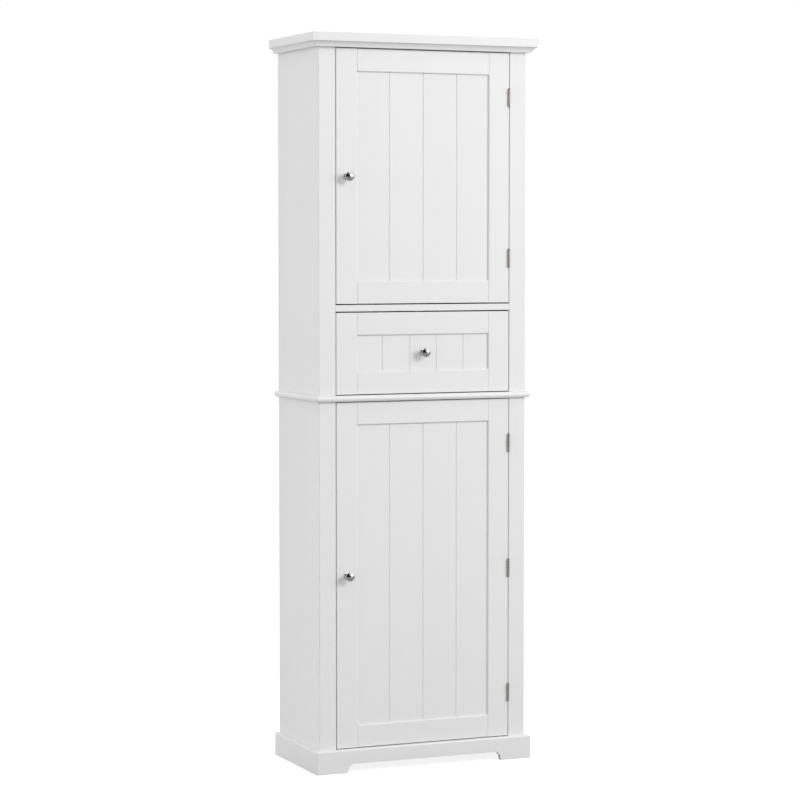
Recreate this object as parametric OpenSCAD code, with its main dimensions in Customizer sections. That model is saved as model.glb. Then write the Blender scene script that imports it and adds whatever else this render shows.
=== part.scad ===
// Tall freestanding bathroom cabinet: door above, drawer in the middle, door below.
// Millimetres. +Z is up and the front faces -Y. The origin is on the floor, in the
// middle of the cabinet's width and of its whole depth, knobs included.

/* [Carcass] */
// Width of the carcass over its side panels
body_w = 553; // [480:1:700]
// Depth of the carcass from its face to its rear edge
body_d = 276.5; // [260:0.5:380]
// Thickness of the side panels
side_t = 15; // [14:0.5:18]
// Width of the upright stiles of the face frame
stile_w = 43.5; // [36:0.5:55]
// Thickness of the face frame
frame_t = 18; // [16:0.5:22]
// Thickness of the board above the drawer
deck_t = 16; // [15:0.5:20]
// Thickness of the bottom board
floor_t = 15; // [14:0.5:20]
// Thickness of the back panels
back_t = 4; // [3:0.5:6]
// Chamfer along the boards' visible edges
ease = 0.8; // [0.3:0.1:1.5]
// How far the back panels lie in from the rear edge
back_set = 1; // [0.5:0.5:3]
// Height of the wall fixing rail inside the top
wall_rail_h = 60; // [45:1:80]
// Thickness of the wall fixing rail
wall_rail_t = 15; // [12:0.5:18]
// Distance between the two wall screw holes
wall_hole_pitch = 360; // [200:10:400]
// Diameter of the wall screw holes
wall_hole_d = 6; // [4:0.5:8]

/* [Heights] */
// Height of the plinth
base_h = 57; // [50:1:90]
// Height of the lower door's opening
lower_open_h = 852.5; // [600:0.5:950]
// Thickness of the waist board
waist_t = 15; // [14:0.5:20]
// Height of the drawer's opening
drawer_open_h = 204; // [190:1:240]
// Height of the upper door's opening
upper_open_h = 622; // [450:1:700]
// Height of the crown moulding
crown_h = 12.5; // [10:0.5:15]
// Thickness of the top board
top_t = 21; // [18:0.5:28]

/* [Trim] */
// Overhang of the top board at the front and sides
top_over = 23.5; // [22:0.5:26]
// Overhang of the crown moulding under the top board
crown_over = 21.5; // [20:0.5:22]
// Overhang of the crown moulding's lower edge
crown_foot = 11.5; // [9:0.5:13]
// Radius of the crown moulding's hollow
cove_r = 18; // [14:0.5:30]
// Overhang of the waist board's round nose
waist_over = 12; // [10:0.5:14]
// Thickness of the plinth boards planted on the carcass
base_over = 12; // [9:0.5:16]
// Chamfer along the plinth's top edge
base_bevel = 3; // [1:0.5:5]
// Width of each front foot
foot_w = 82; // [70:1:110]
// Height of the cut-out between the front feet
arch_h = 21.5; // [19:0.5:30]
// Corner radius of the cut-out
arch_r = 18; // [8:0.5:18]

/* [Doors and drawer front] */
// Thickness of the door and drawer frames
door_t = 18; // [17:0.5:20]
// Gap round the doors, but not on the hinge side or over the deck
door_gap = 1.9; // [1.5:0.1:3]
// Gap on the hinge side, which holds the proud parts of both hinge leaves
hinge_gap = 1.5; // [1.4:0.1:3]
// Gap between the deck and the fronts above and below it
deck_gap = 2.8; // [1.5:0.1:4]
// Gap under the drawer front
drawer_gap = 2.2; // [1.5:0.1:3]
// Gap on each side of the drawer front
drawer_side_gap = 1.7; // [1.2:0.1:3]
// Width of the frames' upright members
member_w = 55.5; // [48:0.5:70]
// Width of the frames' rails
rail_w = 55.5; // [48:0.5:64]
// Chamfer along the frames' inner edges
member_bevel = 2; // [1:0.25:3]
// Thickness of the bead-board panels
panel_t = 8; // [6:0.5:9]
// How far the panels lie back from the frames' face
panel_set = 4.8; // [4:0.1:7]
// Depth of the panels and rails in the frames' slots
tongue = 4.5; // [4:0.5:9]
// Play of a tongue in its slot
slot_play = 0.2; // [0.1:0.05:0.4]
// Width of the grooves between the planks
plank_groove_w = 2.6; // [2:0.1:5]
// Depth of the grooves between the planks
plank_groove_d = 1.25; // [1:0.25:3]
// Number of planks in a door panel
door_planks = 4; // [3:1:6]
// Number of planks in the drawer panel
drawer_planks = 5; // [3:1:7]

/* [Knobs] */
// Distance of a door's knob from the side of its opening
knob_in = 29; // [24:0.5:38]
// How far a knob stands out
knob_out = 29; // [26:0.5:34]
// Radius of the knob head's front and back domes
knob_dome_r = 15; // [14:0.5:20]
// Radius of the knob head's rim
knob_rim_r = 2; // [1.5:0.25:2.5]
// Thickness of the knob's head along its axis
knob_head_t = 14; // [12:0.5:15]
// Radius of the knob's neck
knob_neck_r = 4.2; // [3.5:0.1:5]
// Radius of the knob's foot
knob_foot_r = 8.2; // [7.5:0.1:10]
// Thickness of the knob's foot
knob_foot_t = 2.2; // [1.5:0.1:3]
// Diameter of the knob screws
knob_screw_d = 4; // [3:0.5:5]

/* [Hinges] */
// Height of a hinge's barrel and leaves
hinge_h = 40; // [35:1:50]
// Radius of the barrel
barrel_r = 2.8; // [2.6:0.1:4]
// Radius of the pin
hinge_pin_r = 1.4; // [1.2:0.05:1.5]
// Running clearance of the pin, on the radius
pin_play = 0.05; // [0.02:0.01:0.08]
// Thickness of the leaves
leaf_t = 1; // [0.8:0.05:1.1]
// Depth that each leaf is let into the wood's edge
leaf_let = 0.55; // [0.4:0.05:0.75]
// Depth of the leaves behind the face
leaf_d = 15; // [12:0.5:16]
// Space between the barrel and the cabinet's face
barrel_off = 0.4; // [0.35:0.05:1]
// Gap between two knuckles
knuckle_gap = 0.3; // [0.2:0.05:0.5]
// Distance from a door's end to its hinge's middle
hinge_inset = 110; // [80:1:140]
// Distance between the two screws of a leaf
leaf_screw_pitch = 24; // [20:1:28]

/* [Drawer box] */
// Length of the drawer box behind the front
box_d = 230; // [200:1:230]
// Height of the drawer box
box_h = 165; // [150:1:170]
// Space under the drawer box
box_lift = 15.5; // [12:0.5:18]
// Thickness of the drawer box boards
box_t = 12; // [11:0.5:15]
// Space between the drawer box and the face frame
box_side_gap = 10; // [8:0.5:14]
// Thickness of the drawer bottom
box_floor_t = 4; // [3:0.5:5]
// Height of the drawer bottom above the box's lower edge
box_floor_up = 8; // [6:0.5:12]
// Depth of the slots that hold the drawer bottom
box_slot_d = 5; // [4:0.5:6]
// Height of a runner strip
runner_h = 17; // [12:0.5:22]
// Depth of the runner in the drawer side
runner_in = 4.5; // [3:0.5:5]
// Running clearance of the drawer on its runners
runner_play = 0.3; // [0.2:0.05:0.5]
// Height of the blocks behind the runners
runner_block_h = 40; // [30:1:60]
// How far the drawer pulls out
drawer_travel = 190; // [120:5:195]

/* [Shelves] */
// Thickness of the shelves
shelf_t = 15; // [12:0.5:20]
// Space between a shelf's end and the side panel
shelf_play = 1; // [0.9:0.1:2]
// Space between the doors and the shelves
shelf_back = 8; // [6:0.5:20]
// Number of shelves behind the lower door
lower_shelf_count = 2; // [1:1:3]
// Radius of the shelf pins
shelf_pin_r = 2.5; // [2:0.25:3]
// Depth of a shelf pin in the side panel and in the compartment
shelf_pin_l = 8; // [6:0.5:9]
// Distance of the pins from the shelf's front and rear edges
shelf_pin_in = 37; // [20:1:60]
// Height step of the rows of pin holes
pin_hole_step = 32; // [25:1:40]

/* [Fittings] */
// Width of a magnetic catch over its ears
catch_w = 46; // [40:1:60]
// Height of a magnetic catch
catch_h = 15; // [13:0.5:16]
// Depth of a magnetic catch
catch_d = 14; // [12:0.5:18]
// Distance from the opening's latch side to the catch's middle
catch_in = 83; // [80:1:120]
// Thickness of a strike plate
strike_t = 1.2; // [1:0.1:2]
// Radius of the cam locks
cam_r = 7.5; // [6.5:0.25:8]
// Depth of the cam locks
cam_h = 12; // [11:0.25:12.5]
// Distance from a joint to its cam lock's middle
cam_in = 24; // [20:1:34]
// Distance from a board's edge to its nearest cam lock
cam_edge = 40; // [30:1:50]
// Radius of the countersunk screws' heads
screw_head_r = 2.6; // [2.3:0.1:3]
// Radius of the countersunk screws' shanks
screw_r = 1.5; // [1.2:0.1:1.7]
// Length of the countersunk screws
screw_l = 13; // [10:0.5:14]

/* [Hidden] */
$fn = 64;
// Amount by which a cutter runs past the face that it opens
cut = 1;

// Colours of the finishes
white_paint = [0.93, 0.93, 0.92];
board_white = [0.96, 0.96, 0.95];
chrome_grey = [0.78, 0.79, 0.80];
nickel_grey = [0.62, 0.61, 0.58];
steel_grey = [0.55, 0.56, 0.58];
plastic_white = [0.90, 0.90, 0.88];

// Widths, and the places of the upright faces
half_w = body_w / 2;
inner_x = half_w - side_t;
open_x = half_w - stile_w;
face_y = (max(knob_out, top_over) - body_d) / 2;
rear_y = face_y + body_d;
frame_y = face_y + frame_t;
back_y = rear_y - back_set - back_t;
door_y = face_y + door_t;

// Levels from the floor up
lower_open_z = base_h;
waist_z = lower_open_z + lower_open_h;
drawer_open_z = waist_z + waist_t;
deck_z = drawer_open_z + drawer_open_h;
upper_open_z = deck_z + deck_t;
crown_z = upper_open_z + upper_open_h;
top_z = crown_z + crown_h;
total_h = top_z + top_t;

// Outlines of the doors and the drawer front: left, right, bottom and top
upper_door = [-open_x + door_gap, open_x - hinge_gap, upper_open_z + deck_gap, crown_z - door_gap];
lower_door = [-open_x + door_gap, open_x - hinge_gap, lower_open_z + door_gap, waist_z - door_gap];
drawer_face = [-open_x + drawer_side_gap, open_x - drawer_side_gap,
  drawer_open_z + drawer_gap, deck_z - deck_gap];

// Hinges: their leaves, their axis, and the heights of their middles on each door
frame_leaf_x = open_x + leaf_let - leaf_t;
door_leaf_x = open_x - hinge_gap - leaf_let;
axis_x = open_x + leaf_let - barrel_r;
axis_y = face_y - barrel_off - barrel_r;
knuckles = 5;
knuckle_l = hinge_h / knuckles;
frame_knuckles = [0, 2, 4];
door_knuckles = [1, 3];
upper_hinges = [upper_door[2] + hinge_inset, upper_door[3] - hinge_inset];
lower_hinges = [lower_door[2] + hinge_inset, (lower_door[2] + lower_door[3]) / 2,
  lower_door[3] - hinge_inset];
leaf_screw_y = face_y + door_t / 2;

// Knobs: depths along the axis, counted outwards from the foot
knob_mid = knob_out - knob_head_t / 2;
knob_lens = knob_dome_r - knob_head_t / 2;
knob_rim_x = sqrt(pow(knob_dome_r - knob_rim_r, 2) - pow(knob_lens, 2));
knob_lens_x = knob_rim_x * knob_dome_r / (knob_dome_r - knob_rim_r);
knob_x = -open_x + knob_in;
knob_bore_l = 12;
knob_grip = 11;
knob_screw_play = 0.3;
knob_screw_head_r = knob_screw_d;
knob_screw_head_t = 2.4;

// Drawer box
box_x = open_x - box_side_gap;
box_z = drawer_open_z + box_lift;
box_floor_z = box_z + box_floor_up;
box_rear_y = door_y + box_d;
runner_z = box_z + box_h / 2;
runner_groove_h = runner_h + 2 * runner_play;
runner_side_play = 0.5;
runner_rear_y = back_y - 12;
stop_w = 22;
stop_t = 6;
stop_foot_l = 16;
stop_foot_t = 3;
stop_h = deck_z - box_z - box_h + 7;
stop_y = box_rear_y - box_t - drawer_travel - runner_play;

// Shelves and their pins
shelf_y = door_y + shelf_back;
shelf_rear_play = 2;
shelf_rear_y = back_y - shelf_rear_play;
upper_shelf_z = (upper_open_z + top_z - shelf_t) / 2;
lower_bay = (waist_z - lower_open_z - lower_shelf_count * shelf_t) / (lower_shelf_count + 1);
lower_shelf_zs = [for (i = [1 : lower_shelf_count]) lower_open_z + i * lower_bay + (i - 1) * shelf_t];
pin_ys = [shelf_y + shelf_pin_in, shelf_rear_y - shelf_pin_in];
pin_collar_r = shelf_pin_r + 1;
pin_collar_t = 0.8;
pin_hole_play = 0.05;

// Fittings
fit_play = 0.05;
catch_ear_t = 2.5;
catch_block_w = catch_w - 16;
catch_gap = 0.3;
catch_x = -open_x + catch_in;
catch_y = door_y + strike_t + catch_gap;
catch_screw_x = catch_w / 2 - 4;
strike_w = 30;
strike_h = 12;
strike_up = (catch_h + catch_ear_t) / 2;
upper_strike_z = upper_open_z + strike_up;
lower_strike_z = waist_z - strike_up;
screw_cone_h = screw_head_r - screw_r;
bolt_thread_r = 3;
bolt_thread_l = 10;
bolt_shank_r = 2.5;
bolt_head_r = 3.4;
bolt_bore_r = 3.7;
cam_slot_w = 1.6;
cam_slot_d = 1.5;
cam_play = 0.1;
cam_ys = [frame_y + cam_edge, back_y - cam_edge];
cam_low_ys = [frame_y + cam_edge + 20, back_y - cam_edge - 20];
wall_hole_z = top_z - wall_rail_h / 2;

// A board between two corners
module board(x0, x1, y0, y1, z0, z1) {
  translate([x0, y0, z0]) cube([x1 - x0, y1 - y0, z1 - z0]);
}

// Boards with chamfered long edges: upright, from side to side, and from front to back.
// front_only leaves the rear edges square.
module chamfered(a0, a1, b0, b1, front_only = false) {
  rear = front_only ? 0 : ease;
  polygon([[a0 + ease, b0], [a1 - ease, b0], [a1, b0 + ease], [a1, b1 - rear],
    [a1 - rear, b1], [a0 + rear, b1], [a0, b1 - rear], [a0, b0 + ease]]);
}
module eased_z(x0, x1, y0, y1, z0, z1) {
  translate([0, 0, z0]) linear_extrude(z1 - z0) chamfered(x0, x1, y0, y1);
}
module eased_x(x0, x1, y0, y1, z0, z1) {
  translate([x0, 0, 0]) rotate([90, 0, 90]) linear_extrude(x1 - x0) chamfered(y0, y1, z0, z1);
}
module eased_y(x0, x1, y0, y1, z0, z1) {
  translate([0, y1, 0]) rotate([90, 0, 0]) linear_extrude(y1 - y0) chamfered(x0, x1, z0, z1);
}
module frame_board(x0, x1, z0, z1) {
  translate([0, 0, z0]) linear_extrude(z1 - z0) chamfered(x0, x1, face_y, frame_y, true);
}

// The same thing on the left and the right
module both_sides() {
  children();
  mirror([1, 0, 0]) children();
}

// A cylinder along X or Y, from one coordinate to the other
module rod_x(x0, x1, y, z, r) {
  translate([x0, y, z]) rotate([0, 90, 0]) cylinder(r = r, h = x1 - x0);
}
module rod_y(x, y0, y1, z, r) {
  translate([x, y0, z]) rotate([-90, 0, 0]) cylinder(r = r, h = y1 - y0);
}

// Countersunk screw along +Z, with its head's face at z = 0, and the hole that it needs
module screw_shape(play, l) {
  translate([0, 0, 0]) cylinder(r1 = screw_head_r + play, r2 = screw_r + play, h = screw_cone_h);
  cylinder(r = screw_r + play, h = l);
}
module screw_solid(l = screw_l) {
  difference() {
    screw_shape(0, l);
    for (a = [0, 90]) rotate([0, 0, a])
      translate([-screw_head_r * 0.6, -0.3, -cut]) cube([screw_head_r * 1.2, 0.6, cut + 0.6]);
  }
}
module screw_hole(l = screw_l) {
  translate([0, 0, -cut]) cylinder(r = screw_head_r + fit_play, h = cut);
  screw_shape(fit_play, l + fit_play);
}

// Top board and crown
module top_board() color(white_paint) difference() {
  intersection() {
    eased_x(-half_w - top_over, half_w + top_over, face_y - top_over, rear_y, top_z, total_h);
    eased_y(-half_w - top_over, half_w + top_over, face_y - top_over, rear_y, top_z, total_h);
  }
  cams_top() cam_cut(side_t);
}

// Plan outlines that mitre a trim at the two front corners
module front_plan(over, h) {
  linear_extrude(h) polygon([[-half_w, face_y], [-half_w - over, face_y - over],
    [half_w + over, face_y - over], [half_w, face_y]]);
}
module left_plan(over, h) {
  linear_extrude(h) polygon([[-half_w, face_y], [-half_w, rear_y],
    [-half_w - over, rear_y], [-half_w - over, face_y - over]]);
}
module trim_front(z, over, h) intersection() {
  translate([-half_w - over, face_y, z]) rotate([90, 0, 90])
    linear_extrude(body_w + 2 * over) mirror([1, 0]) children();
  translate([0, 0, z]) front_plan(over, h);
}
module trim_left(z, over, h) intersection() {
  translate([-half_w, rear_y, z]) rotate([90, 0, 0])
    linear_extrude(body_d + over) mirror([1, 0]) children();
  translate([0, 0, z]) left_plan(over, h);
}

// Crown section: outwards, then up, with a hollow between its foot and its top edge
module crown_section() {
  chord = norm([crown_over - crown_foot, crown_h]);
  reach = sqrt(pow(cove_r, 2) - pow(chord / 2, 2));
  difference() {
    polygon([[0, 0], [crown_foot, 0], [crown_over, crown_h], [0, crown_h]]);
    translate([(crown_foot + crown_over) / 2 + reach * crown_h / chord,
      crown_h / 2 - reach * (crown_over - crown_foot) / chord]) circle(cove_r);
  }
}
module crown_front() color(white_paint) trim_front(crown_z, crown_over, crown_h) crown_section();
module crown_sides() color(white_paint) both_sides() trim_left(crown_z, crown_over, crown_h) crown_section();

// Side panels
module pin_holes(z) {
  for (y = pin_ys, k = [-1 : 1])
    rod_x(inner_x - cut, inner_x + shelf_pin_l + fit_play, y, z - shelf_pin_r + k * pin_hole_step,
      shelf_pin_r + pin_hole_play);
}
module upper_side() difference() {
  board(inner_x, half_w, frame_y, back_y, drawer_open_z, top_z);
  pin_holes(upper_shelf_z);
  cams_top() cam_cut(side_t);
  cams_waist_up() cam_cut(side_t);
  cams_deck() cam_cut(deck_t);
  runner_screw_places() screw_hole(runner_screw_l);
}
module lower_side() difference() {
  board(inner_x, half_w, frame_y, back_y, 0, waist_z);
  for (z = lower_shelf_zs) pin_holes(z);
  cams_waist_down() cam_cut(side_t);
  cams_floor() cam_cut(floor_t);
}
module upper_right_side() color(white_paint) upper_side();
module upper_left_side() color(white_paint) mirror([1, 0, 0]) upper_side();
module lower_right_side() color(white_paint) lower_side();
module lower_left_side() color(white_paint) mirror([1, 0, 0]) lower_side();

// Face frame
module right_stile(z0, z1) difference() {
  frame_board(open_x, half_w, z0, z1);
  leaf_pockets(concat(upper_hinges, lower_hinges), open_x - cut, open_x + leaf_let);
  frame_leaf_screws(concat(upper_hinges, lower_hinges)) screw_hole();
}
module upper_left_stile() color(white_paint) frame_board(-half_w, -open_x, drawer_open_z, top_z);
module lower_left_stile() color(white_paint) frame_board(-half_w, -open_x, 0, waist_z);
module upper_right_stile() color(white_paint) right_stile(drawer_open_z, top_z);
module lower_right_stile() color(white_paint) right_stile(0, waist_z);
module head_rail() color(white_paint) board(-open_x, open_x, face_y, frame_y, crown_z, top_z);

// A board between the side panels whose front edge fills the space between the stiles
module notched_board(z0, z1) {
  board(-inner_x, inner_x, frame_y, back_y, z0, z1);
  eased_x(-open_x, open_x, face_y, frame_y + 2 * cut, z0, z1);
}
module drawer_deck() color(white_paint) difference() {
  notched_board(deck_z, upper_open_z);
  cams_deck() cam_cut(deck_t);
  upper_catch_screws() screw_hole(screw_l - 2);
  drawer_stop_screw() screw_hole(screw_l - 2);
}
module bottom_board() color(white_paint) difference() {
  notched_board(base_h - floor_t, base_h);
  cams_floor() cam_cut(floor_t);
}

// Waist board with a half-round nose on three sides
module waist_board() color(white_paint) difference() {
  nose_r = waist_t / 2;
  nose_x = half_w + waist_over - nose_r;
  nose_y = face_y - waist_over + nose_r;
  mid_z = waist_z + nose_r;
  union() {
    board(-nose_x, nose_x, nose_y, rear_y, waist_z, drawer_open_z);
    rod_x(-nose_x, nose_x, nose_y, mid_z, nose_r);
    both_sides() {
      rod_y(nose_x, nose_y, rear_y, mid_z, nose_r);
      translate([nose_x, nose_y, mid_z]) sphere(nose_r);
    }
  }
  cams_waist_up() cam_cut(side_t);
  cams_waist_down() cam_cut(side_t);
  lower_catch_screws() screw_hole(screw_l - 2);
}

// Back panels and the rail for the wall screws
module wall_holes() {
  both_sides()
    rod_y(wall_hole_pitch / 2, back_y - wall_rail_t - cut, rear_y + cut, wall_hole_z, wall_hole_d / 2);
}
module upper_back() color(board_white) difference() {
  board(-half_w, half_w, back_y, back_y + back_t, drawer_open_z, top_z);
  wall_holes();
}
module lower_back() color(board_white)
  board(-half_w, half_w, back_y, back_y + back_t, base_h - floor_t, waist_z);
module wall_rail() color(white_paint) difference() {
  board(-inner_x, inner_x, back_y - wall_rail_t, back_y, top_z - wall_rail_h, top_z);
  wall_holes();
}

// Plinth boards
module base_section() {
  polygon([[0, 0], [base_over, 0], [base_over, base_h - base_bevel],
    [base_over - base_bevel, base_h], [0, base_h]]);
}
module arch_shape() {
  arch_w = body_w + 2 * base_over - 2 * foot_w;
  translate([-arch_w / 2, -cut]) square([arch_w, arch_h - arch_r + cut]);
  translate([-arch_w / 2 + arch_r, -cut]) square([arch_w - 2 * arch_r, arch_h + cut]);
  for (s = [-1, 1]) translate([s * (arch_w / 2 - arch_r), arch_h - arch_r]) circle(arch_r);
}
module base_front() color(white_paint) difference() {
  trim_front(0, base_over, base_h) base_section();
  translate([0, face_y + cut, 0]) rotate([90, 0, 0]) linear_extrude(base_over + 2 * cut) arch_shape();
}
module base_left() color(white_paint) trim_left(0, base_over, base_h) base_section();
module base_right() color(white_paint) mirror([1, 0, 0]) trim_left(0, base_over, base_h) base_section();

// Shelves on pins
module shelf(z) {
  eased_x(-inner_x + shelf_play, inner_x - shelf_play, shelf_y, shelf_rear_y, z, z + shelf_t);
}
module upper_shelf() color(white_paint) shelf(upper_shelf_z);
module lower_shelves() color(white_paint) for (z = lower_shelf_zs) shelf(z);
module shelf_pins() color(steel_grey) both_sides()
  for (z = concat([upper_shelf_z], lower_shelf_zs), y = pin_ys) {
    rod_x(inner_x - shelf_pin_l, inner_x + shelf_pin_l, y, z - shelf_pin_r, shelf_pin_r);
    rod_x(inner_x - pin_collar_t, inner_x, y, z - shelf_pin_r, pin_collar_r);
  }

// Frames with rails tongued into the uprights, and a panel in their slots
module panel_slot(x0, x1, z0, z1) {
  board(x0, x1, face_y + panel_set - slot_play / 2, face_y + panel_set + panel_t + slot_play / 2, z0, z1);
}
module inner_bevel(leaf) {
  x0 = leaf[0] + member_w;
  x1 = leaf[1] - member_w;
  z0 = leaf[2] + rail_w;
  z1 = leaf[3] - rail_w;
  flare = member_bevel + cut;
  intersection() {
    translate([0, 0, z0 - flare]) linear_extrude(z1 - z0 + 2 * flare)
      polygon([[x0 - flare, face_y - cut], [x1 + flare, face_y - cut],
        [x1, face_y + member_bevel], [x0, face_y + member_bevel]]);
    translate([x0 - flare, 0, 0]) rotate([90, 0, 90]) linear_extrude(x1 - x0 + 2 * flare)
      polygon([[face_y - cut, z0 - flare], [face_y - cut, z1 + flare],
        [face_y + member_bevel, z1], [face_y + member_bevel, z0]]);
  }
}
module left_member(leaf) difference() {
  eased_z(leaf[0], leaf[0] + member_w, face_y, door_y, leaf[2], leaf[3]);
  panel_slot(leaf[0] + member_w - tongue - slot_play, leaf[0] + member_w + cut, leaf[2] - cut, leaf[3] + cut);
  inner_bevel(leaf);
}
module right_member(leaf) difference() {
  eased_z(leaf[1] - member_w, leaf[1], face_y, door_y, leaf[2], leaf[3]);
  panel_slot(leaf[1] - member_w - cut, leaf[1] - member_w + tongue + slot_play, leaf[2] - cut, leaf[3] + cut);
  inner_bevel(leaf);
}
module rails(leaf) {
  x0 = leaf[0] + member_w;
  x1 = leaf[1] - member_w;
  for (z = [leaf[2], leaf[3] - rail_w]) difference() {
    union() {
      intersection() {
        eased_x(x0, x1, face_y, door_y, z, z + rail_w);
        eased_z(x0, x1, face_y, door_y, z, z + rail_w);
      }
      board(x0 - tongue, x1 + tongue, face_y + panel_set, face_y + panel_set + panel_t, z, z + rail_w);
    }
    panel_slot(x0 - tongue - cut, x1 + tongue + cut, leaf[2] + rail_w - tongue - slot_play,
      leaf[3] - rail_w + tongue + slot_play);
    inner_bevel(leaf);
  }
}
module bead_panel(leaf, planks) {
  x0 = leaf[0] + member_w - tongue;
  x1 = leaf[1] - member_w + tongue;
  front = face_y + panel_set;
  half_v = plank_groove_w / 2;
  difference() {
    board(x0, x1, front, front + panel_t, leaf[2] + rail_w - tongue, leaf[3] - rail_w + tongue);
    for (i = [1 : planks - 1]) translate([x0 + i * (x1 - x0) / planks, front, leaf[2]])
      linear_extrude(leaf[3] - leaf[2])
        polygon([[-half_v * 2, -plank_groove_d], [half_v * 2, -plank_groove_d], [0, plank_groove_d]]);
  }
}

// Knob with its foot at the origin, standing out along +Z, and its screw
module knob_solid() difference() {
  rotate_extrude($fn = 96) {
    intersection() {
      translate([0, knob_mid - knob_lens]) circle(knob_dome_r, $fn = 128);
      translate([0, knob_mid + knob_lens]) circle(knob_dome_r, $fn = 128);
      translate([0, 0]) square([knob_lens_x, knob_out]);
    }
    translate([knob_rim_x, knob_mid]) circle(knob_rim_r);
    square([knob_neck_r, knob_mid]);
    square([knob_foot_r, knob_foot_t]);
    difference() {
      square([knob_foot_r, knob_foot_t + knob_foot_r - knob_neck_r]);
      translate([knob_foot_r, knob_foot_t + knob_foot_r - knob_neck_r]) circle(knob_foot_r - knob_neck_r);
    }
  }
  translate([0, 0, -cut]) cylinder(d = knob_screw_d + 2 * fit_play, h = knob_bore_l + cut);
}
module knob_screw_solid(grip) {
  translate([0, 0, -grip]) cylinder(d = knob_screw_d, h = grip + knob_grip);
  difference() {
    translate([0, 0, -grip - knob_screw_head_t]) cylinder(r = knob_screw_head_r, h = knob_screw_head_t);
    for (a = [0, 90]) rotate([0, 0, a])
      translate([-knob_screw_head_r * 0.6, -0.5, -grip - knob_screw_head_t - cut])
        cube([knob_screw_head_r * 1.2, 1, cut + 1.2]);
  }
}
module knob_place(x, y, z) translate([x, y, z]) rotate([90, 0, 0]) children();
module knob_hole(x, z, y1) {
  rod_y(x, face_y - cut, y1 + cut, z, knob_screw_d / 2 + knob_screw_play);
}

// Hinges: leaves let into the edges of the stile and the door, and a barrel in front of them
function knuckle_z(z, i) = z - hinge_h / 2 + i * knuckle_l;
module knuckle_barrel(z, i) {
  low = i == 0 ? 0 : knuckle_gap / 2;
  high = i == knuckles - 1 ? 0 : knuckle_gap / 2;
  translate([axis_x, axis_y, knuckle_z(z, i) + low]) cylinder(r = barrel_r, h = knuckle_l - low - high);
}
module hinge_leaf(z, x0, neck_y, fingers) difference() {
  union() {
    board(x0, x0 + leaf_t, face_y, face_y + leaf_d, z - hinge_h / 2, z + hinge_h / 2);
    for (i = fingers) {
      low = i == 0 ? 0 : knuckle_gap / 2;
      high = i == knuckles - 1 ? 0 : knuckle_gap / 2;
      knuckle_barrel(z, i);
      board(x0, x0 + leaf_t, neck_y, face_y + cut, knuckle_z(z, i) + low, knuckle_z(z, i + 1) - high);
    }
  }
  translate([axis_x, axis_y, z - hinge_h / 2 - cut])
    cylinder(r = hinge_pin_r + pin_play, h = hinge_h + 2 * cut);
}
module leaf_pockets(zs, x0, x1) {
  for (z = zs) board(x0, x1, face_y - cut, face_y + leaf_d + fit_play,
    z - hinge_h / 2 - fit_play, z + hinge_h / 2 + fit_play);
}
module leaf_screws(zs, x, turn) {
  for (z = zs, s = [-1, 1]) translate([x, leaf_screw_y, z + s * leaf_screw_pitch / 2])
    rotate([0, turn, 0]) children();
}
module frame_leaf_screws(zs) leaf_screws(zs, frame_leaf_x, 90) children();
module door_leaf_screws(zs) leaf_screws(zs, door_leaf_x + leaf_t, -90) children();
module frame_leaves(zs) difference() {
  for (z = zs) hinge_leaf(z, frame_leaf_x, axis_y, frame_knuckles);
  frame_leaf_screws(zs) screw_hole();
}
module door_leaves(zs) difference() {
  for (z = zs) hinge_leaf(z, door_leaf_x, axis_y + hinge_pin_r + 2 * pin_play + 0.3, door_knuckles);
  door_leaf_screws(zs) screw_hole();
}
module frame_hinge_leaves() color(nickel_grey) frame_leaves(concat(upper_hinges, lower_hinges));

// Hinge pin with a collar and a small ball at each end
module hinge_pins() color(nickel_grey) for (z = concat(upper_hinges, lower_hinges))
  translate([axis_x, axis_y, z]) {
    tip_r = 1.8;
    collar_r = 2.4;
    collar_t = 0.8;
    cylinder(r = hinge_pin_r, h = hinge_h + 2 * collar_t, center = true);
    for (s = [-1, 1]) {
      translate([0, 0, s * (hinge_h + collar_t) / 2]) cylinder(r = collar_r, h = collar_t, center = true);
      translate([0, 0, s * (hinge_h / 2 + collar_t + tip_r * 0.8)]) sphere(tip_r);
    }
  }

// Magnetic catches: one stands on the deck, one hangs under the waist board
module catch_solid() {
  difference() {
    union() {
      board(-catch_w / 2, catch_w / 2, 0, catch_d, 0, catch_ear_t);
      board(-catch_block_w / 2, catch_block_w / 2, 0, catch_d, 0, catch_h);
    }
    for (s = [-1, 1])
      translate([s * catch_screw_x, catch_d / 2, catch_ear_t]) rotate([180, 0, 0]) screw_hole();
    board(-catch_block_w / 2 + 3, catch_block_w / 2 - 3, -cut, 0.6, catch_ear_t + 2, catch_h - 2);
  }
}
module upper_catch_place() translate([catch_x, catch_y, upper_open_z]) children();
module lower_catch_place() translate([catch_x, catch_y, waist_z]) mirror([0, 0, 1]) children();
module catch_screw_places() {
  for (s = [-1, 1]) translate([s * catch_screw_x, catch_d / 2, catch_ear_t]) rotate([180, 0, 0]) children();
}
module upper_catch_screws() upper_catch_place() catch_screw_places() children();
module lower_catch_screws() lower_catch_place() catch_screw_places() children();
module magnetic_catches() color(plastic_white) {
  upper_catch_place() catch_solid();
  lower_catch_place() catch_solid();
}
module strike_screw_place(z) translate([catch_x, door_y + strike_t, z]) rotate([90, 0, 0]) children();
module strike_plate(z) difference() {
  board(catch_x - strike_w / 2, catch_x + strike_w / 2, door_y, door_y + strike_t,
    z - strike_h / 2, z + strike_h / 2);
  strike_screw_place(z) screw_hole(screw_l - 2);
}

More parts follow.
